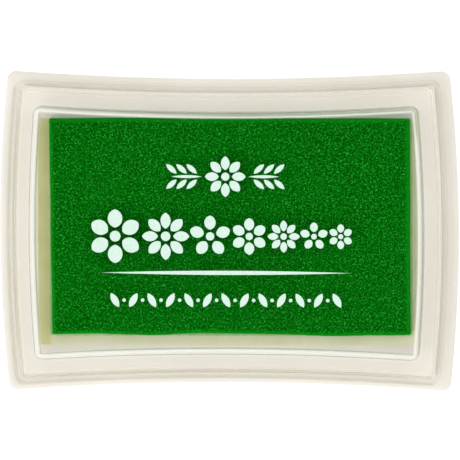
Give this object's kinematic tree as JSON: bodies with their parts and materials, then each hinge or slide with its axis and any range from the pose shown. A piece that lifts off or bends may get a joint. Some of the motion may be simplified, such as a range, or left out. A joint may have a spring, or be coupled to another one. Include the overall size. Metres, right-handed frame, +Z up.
{
  "type": "craft ink pad",
  "caption": "Closed rectangular craft ink pad: cream moulded base with a flange, green foam pad stuck on top, and a clear lift-off lid with a raised printed window.",
  "frame": {"origin": "on the surface it stands on, under the middle of the case", "axes": "+Z up through the lid, +X along the long way of the case, +Y along the short way"},
  "size_m": [0.077, 0.0536, 0.018],
  "materials": {
    "case_plastic": "smooth cream moulded plastic, satin gloss",
    "label_paper": "matt coated paper sticker",
    "adhesive": "khaki double-sided foam sheet stained by ink",
    "foam": "open-cell foam soaked with green ink",
    "ink_foam": "fine-celled foam soaked with green ink, damp sheen",
    "clear_plastic": "clear polystyrene, polished",
    "white_print": "white screen-printed ink"
  },
  "bodies": {
    "base": {"base_shell": "case_plastic", "bottom_cover": "case_plastic", "bottom_label": "label_paper", "adhesive_sheet": "adhesive", "reservoir_sponge": "foam"},
    "pad_face": {"ink_face": "ink_foam"},
    "lid": {"clear_lid": "clear_plastic", "lid_print": "white_print"}
  },
  "joints": [
    {"name": "lid_lift", "type": "slide", "parent": "base", "child": "lid", "axis": [0, 0, 1], "range_m": [0, 0.03]},
    {"name": "pad_press", "type": "slide", "parent": "base", "child": "pad_face", "axis": [0, 0, -1], "range_m": [0, 0.0008], "stiffness_N_per_m": 2000, "deforming": ["reservoir_sponge"]}
  ]
}
